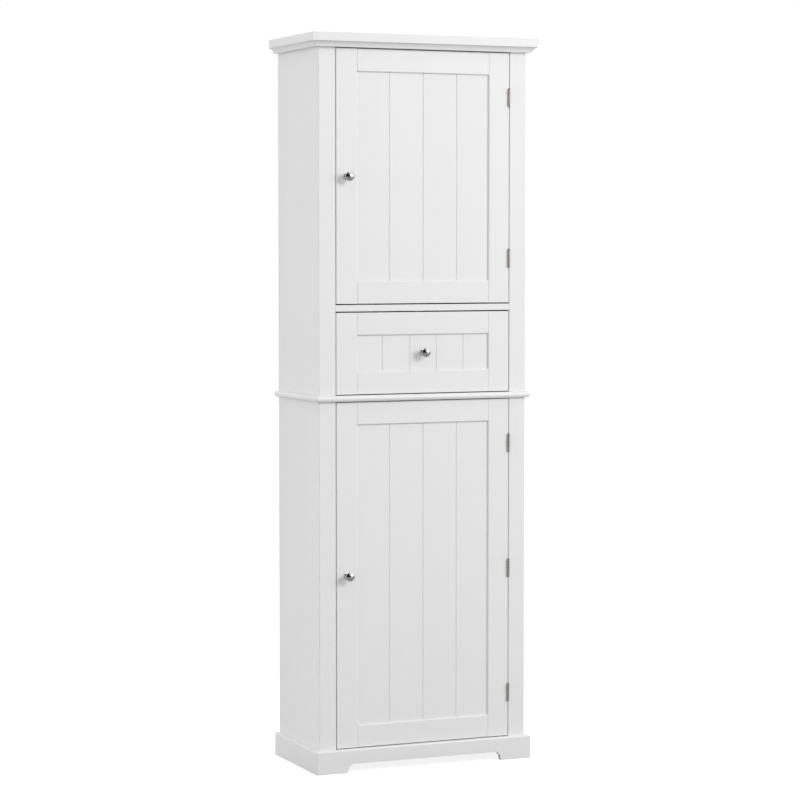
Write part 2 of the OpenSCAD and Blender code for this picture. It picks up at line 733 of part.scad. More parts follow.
// Drawer runners on blocks that fill the space behind the stiles
runner_x = box_x - runner_in;
runner_strip_w = open_x - runner_x;
runner_screw_l = runner_strip_w + inner_x - open_x + side_t / 2;
module runner_screw_places() {
  for (y = [frame_y + 30, runner_rear_y - 30])
    translate([runner_x, y, runner_z]) rotate([0, 90, 0]) children();
}
module runner_block() difference() {
  board(open_x, inner_x, frame_y, runner_rear_y,
    runner_z - runner_block_h / 2, runner_z + runner_block_h / 2);
  runner_screw_places() screw_hole(runner_screw_l);
}
module runner_blocks() color(white_paint) both_sides() runner_block();
module drawer_runners() color(plastic_white) both_sides() difference() {
  board(runner_x, open_x, frame_y + 2, runner_rear_y, runner_z - runner_h / 2, runner_z + runner_h / 2);
  runner_screw_places() screw_hole(runner_screw_l);
}

// Stop under the deck that holds the drawer's back board at full travel
module drawer_stop_screw() {
  translate([0, stop_y - stop_t - stop_foot_l / 2, deck_z - stop_foot_t]) children();
}
module drawer_stop() color(plastic_white) difference() {
  union() {
    board(-stop_w / 2, stop_w / 2, stop_y - stop_t, stop_y, deck_z - stop_h, deck_z);
    board(-stop_w / 2, stop_w / 2, stop_y - stop_t - stop_foot_l, stop_y, deck_z - stop_foot_t, deck_z);
  }
  drawer_stop_screw() screw_hole(screw_l - 2);
}

// Cam fittings. In each place +X runs from the joint into the board that holds the cam,
// and +Z stands out of the face that the cam is set in.
module cams_top() both_sides() for (y = cam_ys)
  translate([-inner_x, y, top_z]) rotate([0, 90, 0]) children();
module cams_waist_up() both_sides() for (y = cam_ys)
  translate([-inner_x, y, drawer_open_z]) mirror([0, 0, 1]) rotate([0, 90, 0]) children();
module cams_waist_down() both_sides() for (y = cam_low_ys)
  translate([-inner_x, y, waist_z]) rotate([0, 90, 0]) children();
module cams_deck() both_sides() for (y = cam_ys)
  translate([-inner_x, y, deck_z]) rotate([180, 0, 0]) children();
module cams_floor() both_sides() for (y = cam_ys)
  translate([-inner_x, y, base_h - floor_t]) rotate([180, 0, 0]) children();

module bolt_rod(x0, x1, t, r) {
  translate([x0, 0, -t / 2]) rotate([0, 90, 0]) cylinder(r = r, h = x1 - x0);
}
module cam_cut(t) {
  translate([cam_in, 0, -cam_h]) cylinder(r = cam_r + cam_play, h = cam_h + cut);
  bolt_rod(0, cam_in, t, bolt_bore_r);
  bolt_rod(-bolt_thread_l - fit_play, 0, t, bolt_thread_r + fit_play);
}
module cam_solid(t) translate([cam_in, 0, 0]) difference() {
  translate([0, 0, -cam_h]) cylinder(r = cam_r, h = cam_h);
  translate([-cam_in, 0, 0]) bolt_rod(0, cam_in + 2, t, bolt_bore_r);
  for (a = [45, 135]) rotate([0, 0, a])
    translate([-cam_r * 0.6, -cam_slot_w / 2, -cam_slot_d]) cube([cam_r * 1.2, cam_slot_w, cam_slot_d + cut]);
}
module bolt_solid(t) {
  bolt_rod(-bolt_thread_l, 0, t, bolt_thread_r);
  bolt_rod(0, cam_in - 2, t, bolt_shank_r);
  bolt_rod(cam_in - 2, cam_in + 1, t, bolt_head_r);
}
module cam_locks() color(steel_grey) {
  cams_top() cam_solid(side_t);
  cams_waist_up() cam_solid(side_t);
  cams_waist_down() cam_solid(side_t);
  cams_deck() cam_solid(deck_t);
  cams_floor() cam_solid(floor_t);
}
module cam_bolts() color(steel_grey) {
  cams_top() bolt_solid(side_t);
  cams_waist_up() bolt_solid(side_t);
  cams_waist_down() bolt_solid(side_t);
  cams_deck() bolt_solid(deck_t);
  cams_floor() bolt_solid(floor_t);
}
module carcass_screws() color(steel_grey) {
  frame_leaf_screws(concat(upper_hinges, lower_hinges)) screw_solid();
  upper_catch_screws() screw_solid(screw_l - 2);
  lower_catch_screws() screw_solid(screw_l - 2);
  drawer_stop_screw() screw_solid(screw_l - 2);
  both_sides() runner_screw_places() screw_solid(runner_screw_l);
}

// Upper door
upper_knob_z = (upper_open_z + crown_z) / 2;
module upper_door_latch_stile() color(white_paint) difference() {
  left_member(upper_door);
  knob_hole(knob_x, upper_knob_z, door_y);
}
module upper_door_hinge_stile() color(white_paint) difference() {
  right_member(upper_door);
  leaf_pockets(upper_hinges, door_leaf_x, upper_door[1] + cut);
  door_leaf_screws(upper_hinges) screw_hole();
}
module upper_door_rails() color(white_paint) difference() {
  rails(upper_door);
  strike_screw_place(upper_strike_z) screw_hole(screw_l - 2);
}
module upper_door_panel() color(white_paint) bead_panel(upper_door, door_planks);
module upper_knob() color(chrome_grey) knob_place(knob_x, face_y, upper_knob_z) knob_solid();
module upper_knob_screw() color(steel_grey) knob_place(knob_x, face_y, upper_knob_z) knob_screw_solid(door_t);
module upper_door_hinge_leaves() color(nickel_grey) door_leaves(upper_hinges);
module upper_strike_plate() color(steel_grey) strike_plate(upper_strike_z);
module upper_door_screws() color(steel_grey) {
  door_leaf_screws(upper_hinges) screw_solid();
  strike_screw_place(upper_strike_z) screw_solid(screw_l - 2);
}

// Lower door
lower_knob_z = (lower_open_z + waist_z) / 2;
module lower_door_latch_stile() color(white_paint) difference() {
  left_member(lower_door);
  knob_hole(knob_x, lower_knob_z, door_y);
}
module lower_door_hinge_stile() color(white_paint) difference() {
  right_member(lower_door);
  leaf_pockets(lower_hinges, door_leaf_x, lower_door[1] + cut);
  door_leaf_screws(lower_hinges) screw_hole();
}
module lower_door_rails() color(white_paint) difference() {
  rails(lower_door);
  strike_screw_place(lower_strike_z) screw_hole(screw_l - 2);
}
module lower_door_panel() color(white_paint) bead_panel(lower_door, door_planks);
module lower_knob() color(chrome_grey) knob_place(knob_x, face_y, lower_knob_z) knob_solid();
module lower_knob_screw() color(steel_grey) knob_place(knob_x, face_y, lower_knob_z) knob_screw_solid(door_t);
module lower_door_hinge_leaves() color(nickel_grey) door_leaves(lower_hinges);
module lower_strike_plate() color(steel_grey) strike_plate(lower_strike_z);
module lower_door_screws() color(steel_grey) {
  door_leaf_screws(lower_hinges) screw_solid();
  strike_screw_place(lower_strike_z) screw_solid(screw_l - 2);
}

// Drawer
drawer_knob_z = (drawer_open_z + deck_z) / 2;
drawer_knob_y = face_y + panel_set;
module drawer_front_stiles() color(white_paint) {
  left_member(drawer_face);
  right_member(drawer_face);
}
module drawer_front_rails() color(white_paint) rails(drawer_face);
module drawer_panel() color(white_paint) difference() {
  bead_panel(drawer_face, drawer_planks);
  knob_hole(0, drawer_knob_z, door_y);
}
module drawer_knob() color(chrome_grey) knob_place(0, drawer_knob_y, drawer_knob_z) knob_solid();
module drawer_knob_screw() color(steel_grey)
  knob_place(0, drawer_knob_y, drawer_knob_z) knob_screw_solid(door_t + box_t - panel_set);
module box_slot() {
  slot_x = box_x - box_t + box_slot_d;
  board(-slot_x, slot_x, door_y + box_t - box_slot_d, box_rear_y + cut,
    box_floor_z - slot_play / 2, box_floor_z + box_floor_t + slot_play / 2);
}
module drawer_box_front() color(board_white) difference() {
  eased_x(-box_x + box_t, box_x - box_t, door_y, door_y + box_t, box_z, box_z + box_h);
  box_slot();
  knob_hole(0, drawer_knob_z, door_y + box_t);
}
module drawer_box_sides() color(board_white) both_sides() difference() {
  eased_y(box_x - box_t, box_x, door_y, box_rear_y, box_z, box_z + box_h);
  box_slot();
  board(runner_x - runner_side_play, box_x + cut, frame_y + 2 - runner_side_play, box_rear_y + cut,
    runner_z - runner_groove_h / 2, runner_z + runner_groove_h / 2);
}
module drawer_box_back() color(board_white)
  eased_x(-box_x + box_t, box_x - box_t, box_rear_y - box_t, box_rear_y,
    box_floor_z + box_floor_t + slot_play / 2, box_z + box_h);
module drawer_box_bottom() color(board_white) {
  slot_x = box_x - box_t + box_slot_d - slot_play;
  board(-slot_x, slot_x, door_y + box_t - box_slot_d + slot_play, box_rear_y,
    box_floor_z, box_floor_z + box_floor_t);
}

top_board();
crown_front();
crown_sides();
upper_left_side();
upper_right_side();
lower_left_side();
lower_right_side();
upper_left_stile();
upper_right_stile();
lower_left_stile();
lower_right_stile();
head_rail();
drawer_deck();
waist_board();
bottom_board();
upper_back();
lower_back();
wall_rail();
base_front();
base_left();
base_right();
upper_shelf();
lower_shelves();
shelf_pins();
magnetic_catches();
runner_blocks();
drawer_runners();
drawer_stop();
frame_hinge_leaves();
hinge_pins();
carcass_screws();
cam_locks();
cam_bolts();
upper_door_latch_stile();
upper_door_hinge_stile();
upper_door_rails();
upper_door_panel();
upper_knob();
upper_knob_screw();
upper_door_hinge_leaves();
upper_strike_plate();
upper_door_screws();
lower_door_latch_stile();
lower_door_hinge_stile();
lower_door_rails();
lower_door_panel();
lower_knob();
lower_knob_screw();
lower_door_hinge_leaves();
lower_strike_plate();
lower_door_screws();
drawer_front_stiles();
drawer_front_rails();
drawer_panel();
drawer_knob();
drawer_knob_screw();
drawer_box_front();
drawer_box_sides();
drawer_box_back();
drawer_box_bottom();
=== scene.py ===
# %% [markdown]
# A tall white bathroom cabinet: a crown and a waist moulding, a door above, a drawer in the
# middle and a door below, on a plinth with bracket feet. Every board, knob, hinge and screw
# is already an exact CAD solid, packed as a frame that this file loads. They could be
# modelled again here, but a copy drifts from their sizes and joints, so the solids stay.
# What is left for Blender is how it all looks: sprayed paint, chrome, satin nickel, raw
# hardboard, the light of a photo studio, and a few pieces too small for the CAD model.

# %% Load the cabinet
import math
from collections import Counter

import bmesh
import bpy
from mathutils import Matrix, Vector


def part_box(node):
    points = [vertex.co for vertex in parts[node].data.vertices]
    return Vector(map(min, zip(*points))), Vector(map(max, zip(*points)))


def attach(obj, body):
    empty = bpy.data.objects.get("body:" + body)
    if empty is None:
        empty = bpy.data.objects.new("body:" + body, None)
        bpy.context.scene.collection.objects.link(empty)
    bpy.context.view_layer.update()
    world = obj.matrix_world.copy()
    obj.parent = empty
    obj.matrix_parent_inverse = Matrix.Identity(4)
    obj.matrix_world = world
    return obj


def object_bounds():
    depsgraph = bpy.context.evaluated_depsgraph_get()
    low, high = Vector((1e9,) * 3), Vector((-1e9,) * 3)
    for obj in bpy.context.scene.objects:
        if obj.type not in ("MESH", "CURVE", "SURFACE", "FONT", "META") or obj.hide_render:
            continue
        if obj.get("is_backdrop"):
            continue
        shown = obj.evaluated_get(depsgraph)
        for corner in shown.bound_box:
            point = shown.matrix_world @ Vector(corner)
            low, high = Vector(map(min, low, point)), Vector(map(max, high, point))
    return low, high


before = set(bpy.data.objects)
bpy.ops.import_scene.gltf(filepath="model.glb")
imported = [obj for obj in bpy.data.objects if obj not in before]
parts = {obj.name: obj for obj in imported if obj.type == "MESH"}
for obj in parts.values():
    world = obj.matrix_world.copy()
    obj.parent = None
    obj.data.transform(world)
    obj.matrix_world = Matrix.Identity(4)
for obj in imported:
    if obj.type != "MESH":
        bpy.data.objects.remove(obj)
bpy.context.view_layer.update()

# %% [markdown]
# The finishes and the small pieces need a few places on the cabinet. Typing them in would
# repeat sizes that the CAD source already holds, so they are read from the solids. A node's
# lowest and highest corners are enough for boards, and the cabinet's faces follow from them.

# %% Read the main faces
stile_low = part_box("lower_left_stile")[0]
face_y = stile_low.y
floor_z = stile_low.z
back_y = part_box("upper_back")[1].y
print("the front face is at y =", round(face_y, 5), "and the back at y =", round(back_y, 5))

# %% [markdown]
# The photograph was taken from the left, a little above the cabinet's middle, with a long
# lens. The camera's place follows from the corners of the crown and the plinth: two rows of
# edges that run together to the left and to the right, and uprights that lean very little.
# A shifted lens would keep the uprights parallel too, but a long one does it without shift,
# and then the camera can be moved for other views.

# %% Camera
camera_data = bpy.data.cameras.new("photo_camera")
camera_data.sensor_width = 36.0
camera_data.lens = 118.54
camera = bpy.data.objects.new("photo_camera", camera_data)
bpy.context.collection.objects.link(camera)
camera.location = (-2.6107, -6.0501, 1.2937)
looked_at = Vector((-0.0633, -0.12375, 0.9105))
sight = looked_at - camera.location
camera.rotation_euler = sight.to_track_quat("-Z", "Y").to_euler()
bpy.context.scene.camera = camera
print("camera is", round(sight.length, 2), "m from what it looks at")

# %% [markdown]
# A node tree can be drawn by hand in the shader editor, but in a script each node takes many
# lines: one to make it, one for each setting, one for each link. Two helpers shorten that.
# The first fills a node's inputs with values or links, and the second adds a node and fills
# it, so that every effect below reads from top to bottom like a recipe.

# %% Add a node and fill its inputs
def feed(tree, node, **inputs):
    """Gives a node's inputs values or links, by name or, as in i3, by number."""
    for name, value in inputs.items():
        number = name[1:]
        socket = node.inputs[int(number) if number.isdigit() else name.replace("_", " ")]
        if isinstance(value, bpy.types.NodeSocket):
            tree.links.new(value, socket)
        else:
            socket.default_value = value


def step(tree, kind, settings=None, **inputs):
    """Adds a node to a tree: settings are its own, inputs are values or other outputs."""
    made = tree.nodes.new("ShaderNode" + kind)
    for name, value in (settings or {}).items():
        setattr(made, name, value)
    feed(tree, made, **inputs)
    return made


print("helpers ready:", feed.__name__, step.__name__)

# %% [markdown]
# A few kinds of node come back in every effect, and each gets a short name of its own. The
# first are a sum, a product, and one range of numbers turned into another. A range with soft
# ends is the more natural one for light and dirt, and a plain one is better for roughness,
# where an even spread is wanted.

# %% Sums and ranges
def sums(tree, operation, first, second=0.0):
    """One piece of arithmetic on two numbers or outputs."""
    return step(tree, "Math", {"operation": operation}, i0=first, i1=second).outputs[0]


def plus(tree, first, second):
    """Two numbers or outputs added."""
    return sums(tree, "ADD", first, second)


def times(tree, first, second):
    """Two numbers or outputs multiplied."""
    return sums(tree, "MULTIPLY", first, second)


def even_range(tree, value, start, stop, low=0.0, high=1.0, ends="LINEAR"):
    """Turns start to stop into low to high, and holds the value at both ends."""
    return step(tree, "MapRange", {"interpolation_type": ends}, Value=value,
                From_Min=start, From_Max=stop, To_Min=low, To_Max=high).outputs[0]


def soft_range(tree, value, start, stop, low=0.0, high=1.0):
    """The same with soft ends."""
    return even_range(tree, value, start, stop, low, high, "SMOOTHSTEP")


print("ready:", plus.__name__, times.__name__, even_range.__name__, soft_range.__name__)

# %% [markdown]
# The other nodes that come back mix two colours or numbers by a share, or make noise. All
# patterns here are noise over a point's own place on the cabinet, in metres. Unwrapping the
# solids for flat pictures would be the other way, but it leaves seams, and a place in metres
# gives every pattern its real size.

# %% Mixes and noise
def mixed_value(tree, share, first, second):
    """A share of 0 gives the first number, and 1 the second."""
    return step(tree, "Mix", {"data_type": "FLOAT"}, i0=share, i2=first, i3=second).outputs[0]


def mixed_colour(tree, share, first, second):
    """The same for two colours."""
    return step(tree, "Mix", {"data_type": "RGBA"}, i0=share, i6=first, i7=second).outputs[2]


def noise(tree, where, scale, detail, roughness, distortion=0.0):
    """Noise at a place, with scale as its lumps in a metre."""
    return step(tree, "TexNoise", None, Vector=where, Scale=scale, Detail=detail,
                Roughness=roughness, Distortion=distortion).outputs[0]


def on_object(tree):
    """Each point's own place on the cabinet, in metres."""
    return step(tree, "TexCoord").outputs["Object"]


print("ready:", mixed_value.__name__, mixed_colour.__name__, noise.__name__, on_object.__name__)

# %% [markdown]
# The cabinet stands in a white studio, and most of its light is what the walls give back:
# more of it comes from behind and from above, where the room is palest. A photographed
# panorama would give such light too, but it is an image file, and its brightness is hard to
# steer. A world made of two soft ranges over the direction is enough.

# %% Light from the room
scene = bpy.context.scene
scene.view_settings.view_transform = "Standard"
world = bpy.data.worlds.new("studio_room")
scene.world = world
world.use_nodes = True
room = world.node_tree
room.nodes.clear()
direction = step(room, "TexCoord").outputs["Generated"]
way = step(room, "SeparateXYZ", None, i0=direction).outputs
all_round, most_behind, most_above = 0.539, 0.495, 0.18
from_behind = soft_range(room, way["Y"], -0.1, 0.7, high=most_behind)
from_above = soft_range(room, way["Z"], -0.1, 0.7, high=most_above)
light = plus(room, plus(room, from_behind, from_above), all_round)
brightest = all_round + most_behind + most_above
print("the room's light runs from", all_round, "to", round(brightest, 3))

# %% [markdown]
# Chrome shows the room itself, so a mirror gets a room with more contrast: white behind the
# cabinet, dim on the side where the photographer stands, which gives the knobs their dark
# parts, and one bright reflector that the key light is bounced from. The camera sees plain
# white. Light Path tells these rays apart, so the white that is seen adds no light to the
# cabinet, and the dim side takes none away.

# %% What mirrors and the camera see
dimmest = 0.015
dim_side = soft_range(room, way["Y"], -0.35, 0.2, dimmest, 1.0)
to_reflector, reflector_glow = (0.54, -0.46, 0.70), 0.85
nearness = step(room, "VectorMath", {"operation": "DOT_PRODUCT"}, i0=direction, i1=to_reflector)
reflector = soft_range(room, nearness.outputs["Value"], 0.58, 0.96, high=reflector_glow)
ray = step(room, "LightPath").outputs
mirrored = mixed_value(room, ray["Is Glossy Ray"], light, plus(room, dim_side, reflector))
seen = mixed_value(room, ray["Is Camera Ray"], mirrored, 1.0)
glow = step(room, "Background", None, Color=(1.0, 1.0, 1.0, 1.0), Strength=seen)
step(room, "OutputWorld", None, Surface=glow.outputs[0])
print("the room has", len(room.nodes), "nodes")

# %% [markdown]
# The floor of a studio is often a white sweep that runs up behind the object. Its bend would
# show in views from high up, so this one is a flat sheet, far wider than any view, and the
# white room takes over where it ends. It lies half a millimetre under the feet, so that the
# two never share a plane.

# %% Floor
reach = 14.0
below_feet = 0.0005
corners = [(-reach, -reach, 0), (reach, -reach, 0), (reach, reach, 0), (-reach, reach, 0)]
floor_mesh = bpy.data.meshes.new("studio_floor")
floor_mesh.from_pydata(corners, [], [(0, 1, 2, 3)])
floor = bpy.data.objects.new("studio_floor", floor_mesh)
bpy.context.collection.objects.link(floor)
floor.location.z = floor_z - below_feet
floor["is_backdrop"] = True
print("floor reaches", reach, "m from the cabinet")

# %% [markdown]
# The floor has to look white and still take the cabinet's soft shadow. A shadow catcher
# leaves that to a compositor, so two shaders are added instead: a pale surface, which the
# shadow darkens, and a glow that lifts it to white. Only the camera and mirrors see them. To
# rays that carry light the floor is a plain grey, which keeps the light from below weak. In
# a mirror its glow fades towards the photographer, as the room's does.

# %% White sweep
sweep = bpy.data.materials.new("white_sweep")
sweep.use_nodes = True
tree = sweep.node_tree
tree.nodes.clear()
ray = step(tree, "LightPath").outputs
grey = step(tree, "BsdfDiffuse", None, Color=(0.4, 0.4, 0.4, 1.0)).outputs[0]
paleness = mixed_value(tree, ray["Is Camera Ray"], 0.25, 0.30)
pale = step(tree, "BsdfDiffuse", None, Color=paleness).outputs[0]
lift = 0.86
place_on_floor = step(tree, "NewGeometry").outputs["Position"]
forward = step(tree, "SeparateXYZ", None, i0=place_on_floor).outputs["Y"]
lift_in_mirrors = soft_range(tree, forward, -0.4, 0.3, high=lift)
lifted = mixed_value(tree, ray["Is Camera Ray"], lift_in_mirrors, lift)
white = step(tree, "Emission", None, Strength=lifted).outputs[0]
pale_and_white = step(tree, "AddShader", None, i0=pale, i1=white).outputs[0]
seen_or_mirrored = sums(tree, "MAXIMUM", ray["Is Camera Ray"], ray["Is Glossy Ray"])
shown = step(tree, "MixShader", None, i0=seen_or_mirrored, i1=grey, i2=pale_and_white)
step(tree, "OutputMaterial", None, Surface=shown.outputs[0])
floor_mesh.materials.append(sweep)
print("the sweep has", len(tree.nodes), "nodes")

# %% [markdown]
# The knobs throw their shadows down to the left, so the key light stands high on the right,
# and far enough away that all three shadows fall nearly the same way. A sun would do that
# too, but its shadows have no soft rim. Yet the front is a little paler towards the crown
# and towards the right, which only a nearer lamp can do, so a weak second box stands close
# by on the right. A third one on the left lifts the side panel. It is kept out of mirrors,
# where it would put a second bright spot on every knob.

# %% Lamps
def softbox(name, stand, aim, size, watts):
    """A square area lamp on its stand, facing a point."""
    data = bpy.data.lights.new(name, "AREA")
    data.shape = "SQUARE"
    data.size = size
    data.energy = watts
    lamp = bpy.data.objects.new(name, data)
    bpy.context.collection.objects.link(lamp)
    lamp.location = stand
    lamp.rotation_euler = (Vector(aim) - Vector(stand)).to_track_quat("-Z", "Y").to_euler()
    return lamp


key = softbox("key_softbox", (3.7, -6.5, 4.3), aim=(0.0, face_y, 0.6), size=2.6, watts=198.0)
near = softbox("near_softbox", (2.4, -2.4, 1.9), aim=(0.0, face_y, 1.7), size=1.4, watts=23.5)
fill = softbox("side_softbox", (-5.0, -0.9, 2.0), aim=(-0.3, 0.0, 3.8), size=2.6, watts=51.0)
fill.visible_glossy = False
for lamp in (key, near, fill):
    print(lamp.name, "is", round(lamp.location.length, 2), "m away")

# %% [markdown]
# Nearly every material below shares a few effects: soft edges, a sprayed film of paint,
# settled dust with painted shade in the corners, worked metal. Copied into each material they
# would be hard to change, so each one is a node group, which is a small machine with named
# knobs. It is built once, and each material places it with its own values. A group here gives
# out only colours, masks, numbers and normals, and the shader stays in the material.

# %% Start and place a node group
def effect(title, takes, gives):
    """An empty node group with named inputs and outputs, its inputs, and its end node."""
    group = bpy.data.node_groups.new(title, "ShaderNodeTree")
    kinds = {float: "NodeSocketFloat", tuple: "NodeSocketColor", Vector: "NodeSocketVector"}
    for name, value in takes.items():
        socket = group.interface.new_socket(
            name=name, in_out="INPUT", socket_type=kinds[type(value)])
        socket.default_value = value
    for name, kind in gives.items():
        group.interface.new_socket(name=name, in_out="OUTPUT", socket_type=kinds[kind])
    given = group.nodes.new("NodeGroupInput").outputs
    return group, given, group.nodes.new("NodeGroupOutput")


def place(tree, group, **values):
    """Places an effect in a material with its own values, and gives its outputs."""
    made = tree.nodes.new("ShaderNodeGroup")
    made.node_tree = group
    feed(tree, made, **values)
    return made.outputs


print("effect() starts a group and place() uses it")

# %% [markdown]
# Painted boards have no knife edges. The film of paint draws back from a sharp arris and
# leaves it softly round, and a round arris catches a thin line of light. A bevel in the mesh
# would change the exact solids. The Bevel node rounds only the shading, so they keep their
# shape. Comparing the rounded normal with the real one also gives a mask of the edges.

# %% Soft arris
soft_arris, given, ends = effect("soft_arris", {"Radius": 0.001}, {"Normal": Vector, "Edge": float})
rounded = step(soft_arris, "Bevel", {"samples": 4}, Radius=given["Radius"]).outputs[0]
plain = step(soft_arris, "NewGeometry").outputs["Normal"]
likeness = step(soft_arris, "VectorMath", {"operation": "DOT_PRODUCT"}, i0=rounded, i1=plain)
edge = soft_range(soft_arris, likeness.outputs["Value"], 0.995, 0.86)
feed(soft_arris, ends, Normal=rounded, Edge=edge)
print(soft_arris.name, "gives", [socket.name for socket in ends.inputs if socket.name])

# %% [markdown]
# A spray gun leaves a skin like orange peel, with bumps two or three millimetres apart and
# far thinner than a hair. Under it a board telegraphs a trace of its grain, which runs along
# the board, and the film is never quite even in thickness or gloss. Photographs of paint
# would show repeats on so large a surface, and noise has none. The stretch squeezes the
# pattern across the board, so one group serves upright, level and broad boards alike.

# %% Sprayed film: its patterns
sprayed_film, given, ends = effect(
    "sprayed_film",
    {"Paint": (0.8, 0.8, 0.8, 1.0), "Thin Paint": (0.7, 0.7, 0.7, 1.0), "Unevenness": 0.3,
     "Stretch": Vector((1.0, 1.0, 1.0)), "Peel Size": 0.0025, "Peel": 0.5, "Grain": 0.3,
     "Glossiest": 0.35, "Dullest": 0.5},
    {"Color": tuple, "Roughness": float, "Height": float})


def stretched(tree, where, stretch):
    """A place squeezed along each axis, so that noise there comes out long."""
    return step(tree, "VectorMath", {"operation": "MULTIPLY"}, i0=where, i1=stretch).outputs[0]


spot = on_object(sprayed_film)
along = stretched(sprayed_film, spot, given["Stretch"])
cloud_scale, pore_scale = 5.0, 420.0
cloud = noise(sprayed_film, along, cloud_scale, 4.0, 0.55)
pores = noise(sprayed_film, along, pore_scale, 3.0, 0.6)
peel_scale = sums(sprayed_film, "DIVIDE", 1.0, given["Peel Size"])
peel = noise(sprayed_film, spot, peel_scale, 1.0, 0.4)
print("clouds are", 1.0 / cloud_scale, "m wide, and pores", round(1000.0 / pore_scale, 1), "mm")

# %% [markdown]
# The three patterns are put to use: the clouds thin the paint and dull it in patches, and
# the peel and the pores become a height. The height leaves the group as a number, because
# how deep it goes, in metres, is for each material to say.

# %% Sprayed film: what it gives
patchy = soft_range(sprayed_film, cloud, 0.38, 0.66)
thin = times(sprayed_film, patchy, given["Unevenness"])
shade = mixed_colour(sprayed_film, thin, given["Paint"], given["Thin Paint"])
gloss = plus(sprayed_film, times(sprayed_film, cloud, 0.7), times(sprayed_film, peel, 0.3))
rough = even_range(sprayed_film, gloss, 0.35, 0.65, given["Glossiest"], given["Dullest"])
skin = plus(sprayed_film, times(sprayed_film, peel, given["Peel"]),
            times(sprayed_film, pores, given["Grain"]))
feed(sprayed_film, ends, Color=shade, Roughness=rough, Height=skin)
print(sprayed_film.name, "has", len(sprayed_film.nodes), "nodes")

# %% [markdown]
# On what faces up, dust settles. The corners where boards meet are darkened as well, in the
# same dusty tone, and that is painted shade. It could be painted on by hand, but the solids
# have no flat map to paint on. The world's normal tells what faces up, and Ambient Occlusion
# with a short reach finds the corners to shade. Both are kept faint here, as the cabinet is
# new. The group takes a colour and gives it back with dust on top and shade in the corners,
# so it goes after any other finish.

# %% Settled dust and painted corner shade
dust_and_corner_shade, given, ends = effect(
    "dust_and_corner_shade",
    {"Color": (0.8, 0.8, 0.8, 1.0), "Dust": (0.62, 0.60, 0.56, 1.0), "On Top": 0.1,
     "In Corners": 0.1, "Corner Reach": 0.006},
    {"Color": tuple})
normal = step(dust_and_corner_shade, "NewGeometry").outputs["Normal"]
up = step(dust_and_corner_shade, "SeparateXYZ", None, i0=normal).outputs["Z"]
facing_up = soft_range(dust_and_corner_shade, up, 0.55, 0.95)
drifts = noise(dust_and_corner_shade, on_object(dust_and_corner_shade), 16.0, 7.0, 0.7)
drifts = even_range(dust_and_corner_shade, drifts, 0.35, 0.7)
on_top = times(dust_and_corner_shade, times(dust_and_corner_shade, facing_up, drifts), given["On Top"])
# Painted shade: Ambient Occlusion finds the corners and joints, and there the colour is darkened
# towards the dust colour.
open_air = step(dust_and_corner_shade, "AmbientOcclusion", {"samples": 4, "only_local": False},
                Distance=given["Corner Reach"]).outputs["AO"]
corner = sums(dust_and_corner_shade, "SUBTRACT", 1.0, open_air)
painted_corner_shade = times(dust_and_corner_shade, corner, given["In Corners"])
mask = sums(dust_and_corner_shade, "MAXIMUM", on_top, painted_corner_shade)
feed(dust_and_corner_shade, ends, Color=mixed_colour(dust_and_corner_shade, mask, given["Color"], given["Dust"]))
print(dust_and_corner_shade.name, "has", len(dust_and_corner_shade.nodes), "nodes")

# %% [markdown]
# Metal shows how it was worked. A polished knob has hair-fine swirls and the touch of
# fingers, a nickel hinge is brushed one way, and zinc has clouds where the crystals grew.
# Each could have a tree of its own, but all are the same two patterns, a fine one stretched
# along the work and a coarse one for smudges, so one group does for every fitting.

# %% Worked metal
worked_metal, given, ends = effect(
    "worked_metal",
    {"Metal": (0.7, 0.7, 0.7, 1.0), "Tarnish": (0.5, 0.5, 0.5, 1.0), "Cloudy": 0.3,
     "Cloud Size": 0.01, "Scratch Width": 0.0003, "Stretch": Vector((1.0, 1.0, 1.0)),
     "Polished": 0.1, "Dull": 0.3},
    {"Color": tuple, "Roughness": float, "Height": float})
spot = on_object(worked_metal)
cloud_scale = sums(worked_metal, "DIVIDE", 1.0, given["Cloud Size"])
cloud = noise(worked_metal, spot, cloud_scale, 3.0, 0.6)
along = stretched(worked_metal, spot, given["Stretch"])
scratch_scale = sums(worked_metal, "DIVIDE", 1.0, given["Scratch Width"])
fine = noise(worked_metal, along, scratch_scale, 2.0, 0.5)
smudge = soft_range(worked_metal, cloud, 0.4, 0.7)
smudged = times(worked_metal, smudge, given["Cloudy"])
tint = mixed_colour(worked_metal, smudged, given["Metal"], given["Tarnish"])
wear = plus(worked_metal, times(worked_metal, smudge, 0.6), times(worked_metal, fine, 0.4))
rough = even_range(worked_metal, wear, 0.1, 0.9, given["Polished"], given["Dull"])
feed(worked_metal, ends, Color=tint, Roughness=rough, Height=fine)
print(worked_metal.name, "has", len(worked_metal.nodes), "nodes")

# %% [markdown]
# Each finish is one material that sets those knobs. A shader could be put together from a
# diffuse and a glossy one, but Principled does both and suits everything from paint to
# chrome. What is the same all over, such as how much a surface is metal, is set on it as a
# plain value. A small function makes the material, and a second joins a height to the shader
# through Bump, on top of the soft edges.

# %% Start a finish
def finish(name, **values):
    """A new material with plain values on its Principled shader: it, its tree, its shader."""
    made = bpy.data.materials.new(name)
    made.use_nodes = True
    shader = made.node_tree.nodes["Principled BSDF"]
    feed(made.node_tree, shader, **values)
    return made, made.node_tree, shader


def relief(tree, shader, height, distance, normal):
    """Turns a height into a bump of that many metres, over a softer normal."""
    bump = step(tree, "Bump", None, Strength=1.0, Distance=distance, Height=height, Normal=normal)
    feed(tree, shader, Normal=bump.outputs[0])


print("finish() and relief() are ready")

# %% [markdown]
# The cabinet is white all over, a satin paint sprayed on smooth board. It is a clean white
# with a breath of warmth, never full white, so that its shades have room to show. A flat
# white would look like paper, and the film's faint changes make it paint. Rails, stiles and
# broad boards share it, and only the direction of the grain under it changes. Along the
# edges the film is thinner, so it is a touch greyer there.

